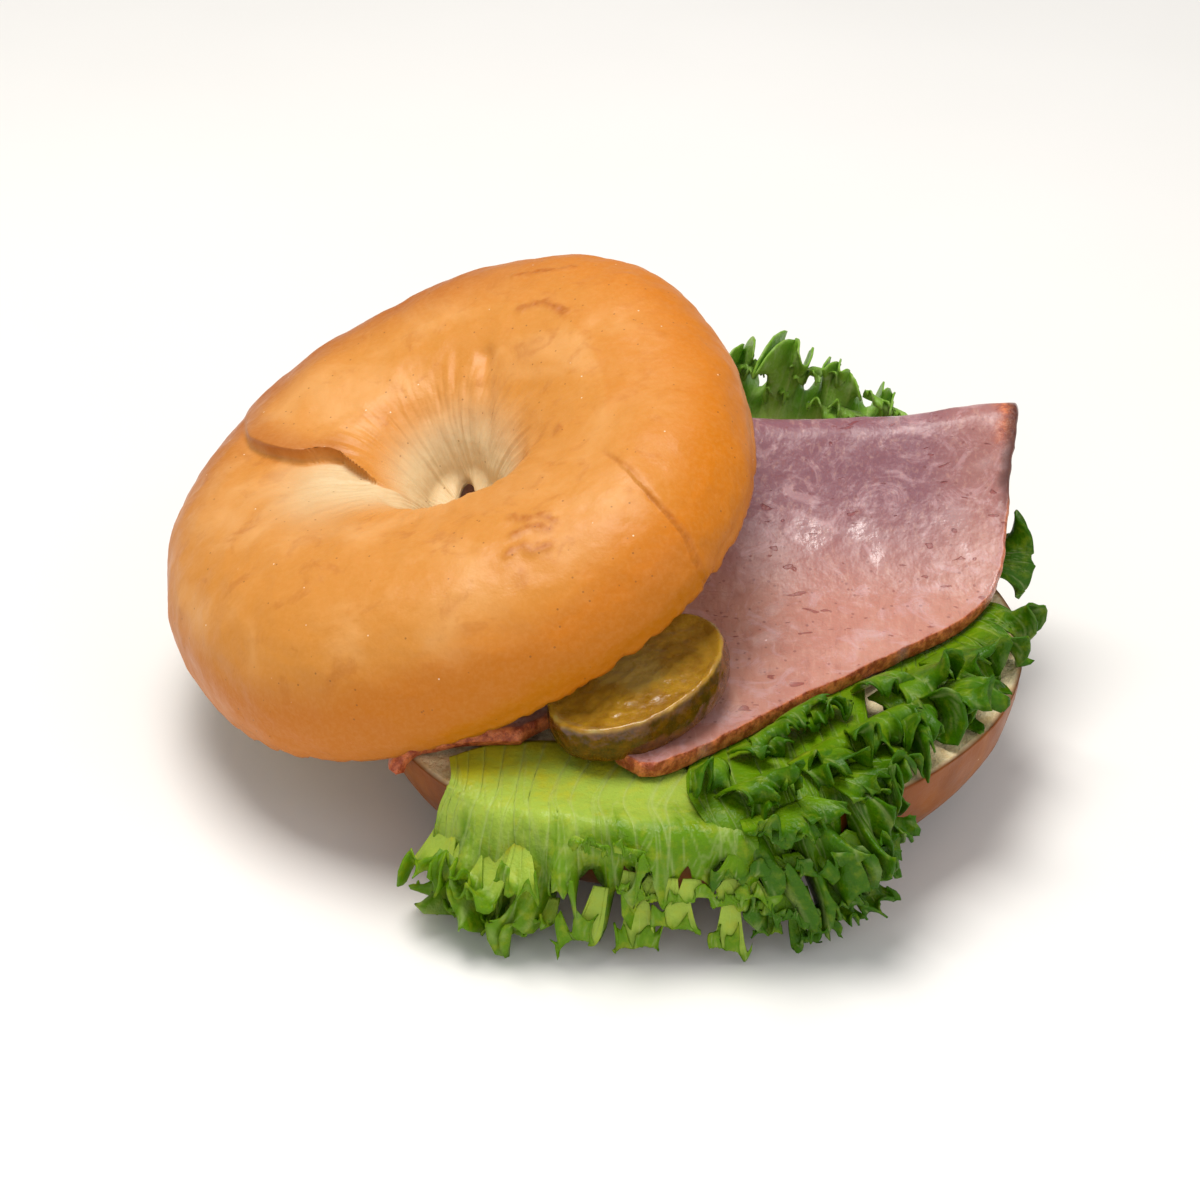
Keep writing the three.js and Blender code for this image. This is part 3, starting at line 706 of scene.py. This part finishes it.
def left_slice():
    rows, columns = 90, 90
    v = np.linspace(0, 1, rows)[:, None]
    s = np.linspace(0, 1, columns)[None, :]
    y = mix(*LEFT_ENDS, v) + 0 * s
    corner = 7 * (smooth(0.12, 0, v) + smooth(0.9, 1, v))

    def low(x):
        rise = 1.5 * smooth(-22, -30, y) * smooth(-46, -36, x)
        return cut_height(x) + GAP + LEFT_SLICE_HALF + rise

    fold_x = mix(*LEFT_FOLD, smooth(-34, -20, y))
    flat = s < LEFT_FLAT
    x_flat = mix(-21 - corner, fold_x, np.clip(s / LEFT_FLAT, 0, 1))
    bend = np.radians(mix(*LEFT_BEND, smooth(-32, -10, y)))
    room = top_plane(fold_x, y) - GAP - LEFT_SLICE_HALF - low(fold_x)
    # The fold is an arc of 2.72 radians, nearly as high as the room under the top half
    arc = np.maximum(2.72 * room / 2.09, 6)
    flap = 8 * smooth(-12, 0, y) * smooth(33, 24, y)
    reach = np.clip((s - LEFT_FLAT) / (1 - LEFT_FLAT), 0, 1) * (arc + flap)
    a = bend * np.minimum(reach, arc) / arc
    straight = np.abs(bend) < 1e-3
    turn = np.where(straight, 1e3 * arc, arc / np.where(straight, 1, bend))
    past = np.maximum(reach - arc, 0)
    x = np.where(flat, x_flat, fold_x - turn * np.sin(a) - past * np.cos(bend))
    z = np.where(flat, low(x_flat), low(fold_x) + turn * (1 - np.cos(a)) + past * np.sin(bend))
    y = y - 2.5 * smooth(-30, -36, y) * np.where(flat, 0, reach / arc)
    z = np.minimum(z + 11.5 * smooth(0.68, 1, v), np.maximum(top_plane(x, y) - GAP - LEFT_SLICE_HALF, z))
    middle = np.stack([x, y, z], axis=-1)
    normals = grid_normals(middle)
    near = np.minimum(np.minimum(v, 1 - v) * LEFT_SIZE[0], np.minimum(s, 1 - s) * LEFT_SIZE[1])
    share = round_edge(near, LEFT_SLICE_HALF)
    half = np.maximum(LEFT_SLICE_HALF * share, 0.05) - 0.15 * np.abs(layered(middle, 6, 71)) * share
    rind = smooth(1.0, 0.5, share) * (v < 0.1) + smooth(2.5, 0.5, near + noise(middle, 4, 73)) * (v < 0.1)
    # The left slice takes a fixed share of the darker purplish tone, which is partly painted shade
    masks = {"rind": np.clip(rind, 0, 1), "wet": 0 * x, "mauve": 0.4 + 0 * x, "dark": 0 * x}
    return shell(middle, normals, half, masks)


# Pickle
PICKLE_CENTRE = np.array([-9.2, -30.2, 35.2])
PICKLE_NORMAL = np.array([-0.2, -0.1, 0.975])
PICKLE_AXES = (16.8, 12.4)
PICKLE_TURN = math.radians(40)
PICKLE_THICKNESS = 7.0
PICKLE_BEVEL = 0.35


def pickle_slice():
    around = 160
    t = np.linspace(0, 2 * math.pi, around, endpoint=False)[None, :]
    face = np.linspace(0.02, 0.955, 50)
    side = np.linspace(0, 1, 26)
    bulge = 1 + 0.04 * np.sin(side * math.pi)
    share = np.concatenate([face, 0.985 * bulge, face[::-1]])
    down = mix(PICKLE_BEVEL, PICKLE_THICKNESS - PICKLE_BEVEL, side)
    depth = np.concatenate([0 * face, down, PICKLE_THICKNESS + 0 * face])
    where = np.concatenate([0 * face, 0.05 + 0.9 * side, 1 + 0 * face])
    share, depth, where = (a[:, None] + 0 * t for a in (share, depth, where))
    x = PICKLE_AXES[0] * share * np.cos(t)
    y = PICKLE_AXES[1] * share * np.sin(t)
    local = np.stack([x, y, -depth], axis=-1)
    on_side = (where > 0) * (where < 1)
    bumps = layered(local, 3.2, 81, 2)
    local[..., :2] *= (1 - 0.02 * np.abs(bumps) * on_side)[..., None]
    hollow = 0.5 * smooth(0.3, 0.8, share) * smooth(0.97, 0.85, share)
    local[..., 2] -= (0.35 * np.abs(layered(local, 4.5, 83)) + hollow) * (where == 0)
    c, s = math.cos(PICKLE_TURN), math.sin(PICKLE_TURN)
    turned = local @ np.array([[c, s, 0], [-s, c, 0], [0, 0, 1]])
    points = turned @ turn_to(PICKLE_NORMAL).T + PICKLE_CENTRE
    rows = len(share)
    flat = points.reshape(-1, 3)
    top, bottom = flat[:around].mean(axis=0), flat[-around:].mean(axis=0)
    flat = np.concatenate([flat, [top, bottom]])
    first = np.arange(0, around, 2)
    second, third = (first + 1) % around, (first + 2) % around
    top_point = np.full(len(first), rows * around)
    last = (rows - 1) * around
    middle_top = np.stack([third, second, first, top_point], axis=1)
    middle_low = np.stack([first + last, second + last, third + last, top_point + 1], axis=1)
    sides = grid_faces(rows, around, False, True)
    faces = np.concatenate([sides, middle_top, middle_low])[:, ::-1]
    ragged = noise(points, 2.2, 85)
    patchy = smooth(-0.1, 0.5, noise(points, 5, 87) + 0.4 * ragged)
    rim = smooth(0.93, 0.965, share + 0.012 * ragged) * smooth(0.1, 0.03, where)
    masks = {
        "skin": smooth(0.05, 0.15, where),
        "cloud": 0.8 * smooth(0.55, 0.2, share + 0.25 * layered(points, 6, 86)) * (where == 0),
        "edge": rim * patchy * 0.75,
    }
    padded = {key: np.concatenate([m.ravel(), [m.ravel()[0], m.ravel()[-1]]]) for key, m in masks.items()}
    return flat, faces, padded


# Lettuce

# Each leaf: rows of points from where it lies on the bread out to its margin
LEAVES = {
    "lettuce_front": [
        [[-40, -37, 22.2], [-31, -33, 22.4], [-17, -34, 22.8], [-4, -40, 23], [6, -45, 23.4]],
        [[-39.5, -43.5, 22.4], [-31.5, -47, 22.9], [-21.5, -48.5, 23.3], [-8, -51, 23.7], [8, -54, 24]],
        [[-41.5, -45.5, 18], [-32.5, -52, 21], [-21.5, -56.5, 24], [-7, -59.5, 24.5], [10, -60.5, 23.5]],
        [[-42.5, -48, 11], [-33, -54.5, 12.5], [-21.5, -59.5, 15.5], [-6.5, -62.5, 19], [10.5, -62.5, 18.5]],
        [[-39.5, -49, 4], [-31.5, -53.5, 3.5], [-21.5, -57.5, 3.5], [-6, -60.8, 9.5], [11.5, -61, 12]]],
    "lettuce_frill": [
        [[0, -40, 23.4], [8, -32, 23.5], [16, -25, 23.7], [24, -18, 23.9], [31, -12, 24.1]],
        [[-1, -50.5, 25.5], [9, -47, 26], [18, -41, 26.5], [24.5, -34, 27], [29.5, -27, 27]],
        [[2, -59, 24.5], [12, -57, 25], [20, -52.5, 26], [25.5, -45, 27], [30, -38.5, 27]],
        [[6, -62.5, 17.5], [16, -61, 15.5], [24.5, -57, 17.5], [29.5, -52, 22], [32.5, -47, 25.5]],
        [[10, -60.5, 8], [18.5, -59, 7], [26, -55.5, 10.5], [31, -52, 17.5], [34, -49, 23]]],
    "lettuce_right": [
        [[35, -11, 24.2], [42, -7, 24.4], [47, -1, 24.5], [50, 6, 24.6]],
        [[32.5, -25, 26.5], [43, -16.5, 27], [51, -7, 27.5], [54, 3, 27.5]],
        [[33.5, -38, 27.5], [44.5, -26.5, 28], [54, -12.5, 28.5], [58, -1, 28.5]],
        [[36, -46.5, 25.5], [48.5, -31, 25], [57.5, -14, 26], [62.5, -2, 27]]],
    "lettuce_right_tip": [
        [[47, 15, 24.2], [46.5, 20, 24.2], [46, 25, 24.2]],
        [[55, 15.5, 26], [54.5, 21, 26.5], [53, 26.5, 26]],
        [[63.5, 15.5, 25.5], [65, 21, 27], [61.5, 27.5, 26.5]]],
    "lettuce_back": [
        [[0, 42, 23], [11, 41, 23.2], [22, 40, 23.4], [32, 38, 23.6]],
        [[3, 50, 26], [14, 50, 27], [26, 49, 27], [36, 47, 26]],
        [[6, 58, 36], [17, 58, 37.5], [29, 56, 36.5], [40, 54, 34]],
        [[9, 63.5, 45], [21, 62.5, 48.5], [31, 59, 44.5], [42, 57, 40]]],
}
# Each leaf's sheet: points across and out, curls, how many lobes and teeth and how deep, veins, seed, and how
# green it is at the root and along one side
BEDS = {
    "lettuce_front": {
        "size": (260, 42), "curls": [(3.5, 0.6, 45, 0.4), (9, 0.4, 75, 0.55), (22, 0, 80, 0.72)],
        "lobes": (6, 0.24), "teeth": (24, 0.07), "fans": 14, "seed": 5, "side": 0.3},
    "lettuce_frill": {
        "size": (260, 42), "curls": [(4, 1, 45, 0.3), (11, 0, 75, 0.5), (22, 0, 70, 0.68)],
        "lobes": (7, 0.16), "teeth": (24, 0.08), "fans": 12, "seed": 17, "green": 0.3},
    "lettuce_right": {
        "size": (200, 36), "curls": [(4, 1, 60, 0.3), (9, 0, 60, 0.5), (22, 0, 45, 0.7)],
        "lobes": (5, 0.4), "teeth": (18, 0.08), "fans": 12, "seed": 29, "green": 0.45},
    "lettuce_right_tip": {
        "size": (110, 40), "curls": [(1.5, 0.5, 50, 0.3), (3, 0.4, 40, 0.6)],
        "lobes": (2, 0.1), "teeth": (7, 0.07), "fans": 6, "seed": 41, "green": 0.6},
    "lettuce_back": {
        "size": (240, 48), "curls": [(3, 0.9, 60, 0.4), (7, 0.4, 60, 0.6), (15, 0, 60, 0.75)],
        "lobes": (4, 0.12), "teeth": (15, 0.05), "fans": 9, "seed": 53},
}
# Rows of small frills: how many, their length and rise, how green they are, and the path they stand along
RUFFLES = {
    "lettuce_front": [
        (4, 9, -6, 0.2, [[-40, -46, 16], [-36, -50, 17], [-31, -53, 18], [-25, -56.5, 19]]),
        (5, 7, -5, 0.4, [[-39, -47.5, 8], [-33, -52.5, 8], [-27, -56, 8.5], [-20, -59, 10]]),
        (4, 8, -9, 0.4, [[-16, -61, 14], [-4, -62.5, 13], [7, -62.5, 13]]),
        (7, 6, -4, 0.45, [[-12, -61, 17.5], [-4, -62.5, 16.5], [4, -62.5, 16.5], [9, -61.5, 17.5]]),
        (4, 4.5, 2.5, 0.4, [[-19, -60, 23], [-15, -61.5, 22], [-11, -62, 21]])],
    "lettuce_frill": [
        (7, 8, 4.2, 0.1, [[0.5, -45.5, 26], [9.5, -38.5, 26.5], [19, -30, 27], [29.5, -23, 27]]),
        (6, 9.5, 4, 0.2, [[4, -53, 26], [14, -46, 26.5], [23.5, -38, 27], [32, -31, 27]]),
        (6, 8.5, 0.5, 0.35, [[6, -59, 25], [16, -55, 26], [24, -48, 27], [30, -41, 27]]),
        (6, 7.5, -3, 0.45, [[6, -61.5, 21], [14, -60.5, 20], [22, -57, 20], [28, -51, 22]]),
        (6, 6.5, -4, 0.55, [[9, -61.5, 14], [16, -60.5, 13], [23, -57, 14], [29, -51, 17]]),
        (5, 5.5, -4, 0.65, [[11, -60.5, 9], [17, -59.5, 8], [24, -56, 9], [29, -51, 13]])],
    "lettuce_right": [
        (3, 11, 3.5, 0.4, [[31, -25, 26.5], [36, -20, 27], [42, -13.5, 27]]),
        (3, 11, 3.5, 0.5, [[34, -34, 27], [40, -28, 27.5], [46, -20, 28]])],
    "lettuce_back": [
        (7, 6.5, 3.5, 0.6, [[9, 62.5, 41], [20, 61.5, 44], [31, 58.5, 41.5], [41, 56.5, 37.5]]),
        (5, 6, 3, 0.45, [[9, 60.5, 36], [20, 60, 38], [31, 57, 37], [40, 55.5, 34]])],
}
# A small frill from its foot to its margin: how far out, how far up and how wide, as shares
FRILL_ROWS = [(0, 0, 0.5), (0.35, 0.75, 0.9), (0.7, 1.0, 1.2), (1.0, 0.6, 1.4)]
# The furthest that leaves reach: where they begin to be pressed in, and how far past it they get, mm
FRONT_REACH = (59.5, 4.1)
RIGHT_REACH = (61, 3.6)
BACK_REACH = (66, 4.2)


def leaf_base(rows, u, v):
    """A smooth sheet through the rows of points, at u across and v out, each 0 to 1."""
    across = np.stack([along(row, u) for row in rows])
    out = along(across.reshape(len(rows), -1), v)
    return out.reshape(len(v), len(u), 3)


def cusps(place, seed):
    """Points with round gaps between them: 1 at each point, lower between, for place counted in points."""
    drift = 0.55 * noise(np.stack([place / 1.7, 0 * place, 0 * place + seed], axis=-1), 1.0, seed)
    return 1 - np.abs(np.sin(math.pi * (place + drift))) ** 0.75


def scallops(place, seed):
    """Round lobes with narrow gaps between them: 1 on a lobe, 0 in a gap, for place counted in lobes."""
    drift = 0.35 * noise(np.stack([place / 1.7, 0 * place, 0 * place + seed], axis=-1), 1.0, seed)
    return np.abs(np.sin(math.pi * (place + drift))) ** 0.6


def curled(base, u, v, curls, seed):
    """Bends a leaf up and down by turns along its margin. Each curl: waves, phase, degrees, start."""
    steps = np.diff(base, axis=0)
    length = np.linalg.norm(steps, axis=-1)
    outward = unit(steps)
    normal = unit(grid_normals(base)[1:] + grid_normals(base)[:-1])
    across = unit(np.gradient(base, axis=1))[1:]
    middle = (v[1:, None] + v[:-1, None]) / 2 + 0 * u
    bend = np.zeros_like(length)
    first = None
    for k, (waves, phase, degrees, start) in enumerate(curls):
        at = np.stack([u * waves / 1.6 + 0 * middle, middle * 1.2, 0 * middle + seed + 3 * k], axis=-1)
        angle = 2 * math.pi * waves * u + phase + 1.5 * noise(at, 1.0, 200 + seed + k)
        swing = 1 + 0.45 * noise(at + 5, 1.0, 240 + seed + k)
        bend += math.radians(degrees) * smooth(start, 1, middle) * swing * np.sin(angle)
        first = angle if first is None else first
    heading = outward * np.cos(bend)[..., None] + normal * np.sin(bend)[..., None]
    stretch = np.clip(1 / np.maximum(np.mean(np.cos(bend), axis=1), 0.55), 1, 1.5)[:, None]
    moved = heading * (length * stretch)[..., None] - steps
    offset = np.concatenate([np.zeros((1,) + base.shape[1:]), np.cumsum(moved, axis=0)])
    lift = np.sum(offset[1:] * normal, axis=-1)
    offset[1:] -= across * (0.3 * lift * np.cos(first))[..., None]
    return base + offset


def keep_clear(points):
    """Moves a leaf out of the bottom half: above its cut face inside the rim, outside its crust below."""
    x, y, z = (points[..., k].copy() for k in range(3))
    t = np.arctan2(y, x)
    r = np.hypot(x, y)
    on_cut = cut_height(x) + LEAF_CLEARANCE
    inside = r < bottom_radius(t) + LEAF_CLEARANCE
    z = np.where(inside & (z > 16), np.maximum(z, on_cut), np.maximum(z, LEAF_LOWEST))
    out = np.maximum(r, bottom_side(t, z) + LEAF_CLEARANCE)
    move = np.where(z < on_cut - 0.01, out / np.maximum(r, 1e-6), 1)
    return np.stack([x * move, y * move, z], axis=-1)


def vein_mask(u, v, fans, seed):
    """Veins that fan out from the root and fork on the way to the margin."""
    rng = np.random.default_rng(seed)
    total = np.zeros((len(v), len(u)))
    for k in range(fans):
        foot = (k + rng.uniform(0.25, 0.75)) / fans
        for fork in range(5):
            start = rng.uniform(0.05, 0.8) if fork else 0.0
            lean = rng.uniform(-0.6, 0.6) if fork else rng.uniform(-0.15, 0.15)
            path = foot + lean * np.clip(v - start, 0, 1) * 0.35
            width = 0.0035 * (1.6 - v) * (0.6 if fork else 1.0)
            line = np.exp(-((u[None, :] - path[:, None]) / width[:, None]) ** 2) * (v > start)[:, None]
            total = np.maximum(total, line * (0.7 if fork else 1.0))
    return total


def pressed(x, limit, give):
    """Places past the limit, pressed together so that they stay within the give beyond it."""
    return np.where(x > limit, limit + give * np.tanh((x - limit) / give), x)


def inside_box(points):
    """Presses a leaf's far reaches back inside the sandwich's outer limits."""
    x, y, z = (points[..., k] for k in range(3))
    y = pressed(-pressed(-y, *FRONT_REACH), *BACK_REACH)
    return np.stack([pressed(x, *RIGHT_REACH), y, z], axis=-1)


def under_meat(points):
    """Moves a leaf below the big slice where the slice covers it."""
    x, y, z = (points[..., k] for k in range(3))
    right = np.interp(y, ROAST_ROWS[:, 0], ROAST_ROWS[:, 3])
    height = np.interp(y, ROAST_ROWS[:, 0], ROAST_ROWS[:, 1])
    cover = smooth(0.5, 3, right - x) * (y > -45) * (y < 40) * (x > -17)
    low = roast_height(x, y, height) - ROAST_HALF - MEAT_CLEARANCE
    lowered = np.where(z > low, mix(z, low, cover), z)
    return np.stack([x, y, lowered], axis=-1)


def margin_nick(u, lobes, teeth, seed):
    """How much of the leaf is left at each place across it, with its lobes and teeth cut in."""
    (lobe_count, lobe_depth), (tooth_count, tooth_depth) = lobes, teeth
    lobed = 1 - lobe_depth * (1 - scallops(u * lobe_count, seed + 1))
    return lobed - tooth_depth * (1 - cusps(u * tooth_count, seed + 2))


def leaf_sheet(rows, size, curls, lobes, teeth, fans, seed, green=0.0, side=0.0):
    """One closed sheet of leaf with a curled and toothed margin."""
    across, out = size
    u = np.linspace(0, 1, across)
    v = np.linspace(0, 1, out)
    points = curled(leaf_base(rows, u, v), u, v, curls, seed)
    veins = vein_mask(u, v, fans, seed)
    points = points + grid_normals(points) * (0.2 * veins + 0.22 * layered(points, 6, seed))[..., None]
    index = v[:, None] * margin_nick(u, lobes, teeth, seed)[None, :] * (out - 1)
    low = np.minimum(index.astype(int), out - 2)
    share = (index - low)[..., None]
    column = np.arange(across)[None, :]
    points = points[low, column] * (1 - share) + points[low + 1, column] * share
    points = keep_clear(inside_box(under_meat(points)))
    half = LEAF_HALF * mix(1.0, 0.55, v)[:, None] + 0 * u
    masks = {"reach": green + (1 - green) * v[:, None] + side * smooth(0.45, 0.85, u), "vein": veins}
    return shell(points, grid_normals(points), half, masks)


def ruffles(count, length, rise, green, path, seed):
    """Small frills in a row along a path, each standing out from it."""
    rng = np.random.default_rng(seed)
    made = []
    for k in range(count):
        t = (k + rng.uniform(0.2, 0.8)) / count
        foot, ahead = along(path, np.array([t, min(t + 0.02, 1.0)]))
        side = unit(ahead - foot + 1e-6)
        outward = unit(np.cross(side, [0, 0, 1]))
        reach, high = length * rng.uniform(0.7, 1.15), rise * rng.uniform(0.5, 1.2)
        width, lean = length * rng.uniform(0.6, 1.0), rng.uniform(-0.6, 0.6)
        rows = []
        for out, up, wide in FRILL_ROWS:
            stand, lift = outward * reach * out, [0, 0, high * up]
            rows.append([foot + side * (width * wide * s + lean * reach * out) + stand + lift
                         for s in (-0.5, 0.0, 0.5)])
        curls = [(0.8, seed + k, 45, 0.2), (2.2, 0.7 * k, 70, 0.45)]
        made.append(leaf_sheet(rows, (36, 11), curls, (2, 0.2), (6, 0.13), 3, seed + 7 * k, green))
    return made


def joined(parts):
    """Several closed meshes as one."""
    points, faces, masks, start = [], [], {}, 0
    for p, f, m in parts:
        points.append(p)
        faces.append(f + start)
        start += len(p)
        for key, values in m.items():
            masks.setdefault(key, []).append(values)
    return np.concatenate(points), np.concatenate(faces), {k: np.concatenate(m) for k, m in masks.items()}


def lettuce(node, seed):
    """A leaf: the sheet that lies on the bread, and the rows of frills that stand on it."""
    parts = [leaf_sheet(LEAVES[node], **BEDS[node])]
    for k, row in enumerate(RUFFLES.get(node, []), 1):
        parts += ruffles(*row, seed + 91 * k)
    return joined(parts)


# Lights, floor and camera

# Lights: name, watts, side and place in metres, tint
LIGHTS = [
    ("key", 7.0, 0.45, (-0.12, 0.12, 0.85), (1.0, 0.97, 0.93)),
    ("fill", 2.0, 0.7, (0.6, -0.5, 0.5), (1, 1, 1)),
    ("front", 1.2, 0.6, (-0.2, -0.8, 0.35), (1, 1, 1))]
LIGHT_TARGET = (0, 0, 0.03)
SKY_COLOUR = (0.96, 0.98, 1.0, 1)
SKY_STRENGTH = 0.36
FLOOR_SIZE = 6
CAMERA_PLACE = (-0.0008, -0.4273, 0.29496)
CAMERA_TARGET = (-0.0008, -0.0033, 0.03)
SENSOR_WIDTH = 36
LENS_LENGTH = 85.5


def aimed(name, data, place, target):
    """A light or camera at a place, turned towards its target."""
    made = bpy.data.objects.new(name, data)
    made.location = place
    made.rotation_euler = (Vector(target) - Vector(place)).to_track_quat("-Z", "Y").to_euler()
    bpy.context.scene.collection.objects.link(made)
    return made


def area_light(name, power, size, place, tint):
    lamp = bpy.data.lights.new(name, "AREA")
    lamp.energy = power
    lamp.size = size
    lamp.color = tint
    aimed(name, lamp, place, LIGHT_TARGET)


def studio():
    bpy.context.scene.view_settings.view_transform = "Standard"
    world = bpy.data.worlds.new("studio")
    world.use_nodes = True
    sky = world.node_tree.nodes["Background"].inputs
    sky["Color"].default_value = SKY_COLOUR
    sky["Strength"].default_value = SKY_STRENGTH
    bpy.context.scene.world = world
    for light in LIGHTS:
        area_light(*light)
    bpy.ops.mesh.primitive_plane_add(size=FLOOR_SIZE)
    floor = bpy.context.object
    floor.name = "floor"
    floor.data.materials.append(floor_finish())


def camera():
    """Looks down at 32 degrees from the front."""
    lens = bpy.data.cameras.new("camera")
    lens.sensor_width = SENSOR_WIDTH
    lens.lens = LENS_LENGTH
    lens.clip_start = 0.01
    bpy.context.scene.camera = aimed("camera", lens, CAMERA_PLACE, CAMERA_TARGET)


# The sandwich
def bread():
    top = crust("crust_top", colour(206, 135, 54), colour(220, 158, 90), colour(164, 84, 18),
                colour(200, 113, 0), colour(220, 196, 152))
    # The bottom half's crust is a darker copy of the top's: partly its own colour, partly painted shade
    low = crust("crust_low", colour(136, 70, 4), colour(160, 92, 14), colour(80, 34, 0),
                colour(136, 66, 0), colour(190, 144, 80))
    piece("bagel_top_crust", "bagel_top", "top_crust", *top_half(), top)
    piece("bagel_bottom_crust", "bagel_bottom", "bottom_crust", *bottom_half(), low)


def fillings():
    cured = meat()
    piece("roast_main", "roast_slice", "roast_meat", *roast_slice(), cured)
    piece("roast_left", "roast_slice_left", "roast_meat_left", *left_slice(), cured)
    piece("pickle_disc", "pickle_slice", "pickle", *pickle_slice(), pickle_skin())


def leaves():
    pale = leaf("leaf_pale", colour(210, 208, 46), colour(188, 214, 84), colour(112, 160, 8))
    green = leaf("leaf_green", colour(176, 194, 40), colour(112, 158, 4), colour(68, 120, 0))
    # Painted light: the back leaf's colours are made lighter to make up for the shade that falls on it
    shaded = leaf("leaf_back", colour(216, 232, 176), colour(184, 216, 116), colour(140, 188, 60))
    looks = {
        "front": ("pale_leaf", pale), "frill": ("frill_leaf", green), "right": ("right_leaf", green),
        "right_tip": ("tip_leaf", green), "back": ("back_leaf", shaded)}
    for k, (place, (slot, finish)) in enumerate(looks.items()):
        node = "lettuce_" + place
        piece("leaf_" + place, node, slot, *lettuce(node, 300 + 40 * k), finish)


camera()
studio()
bread()
fillings()
leaves()
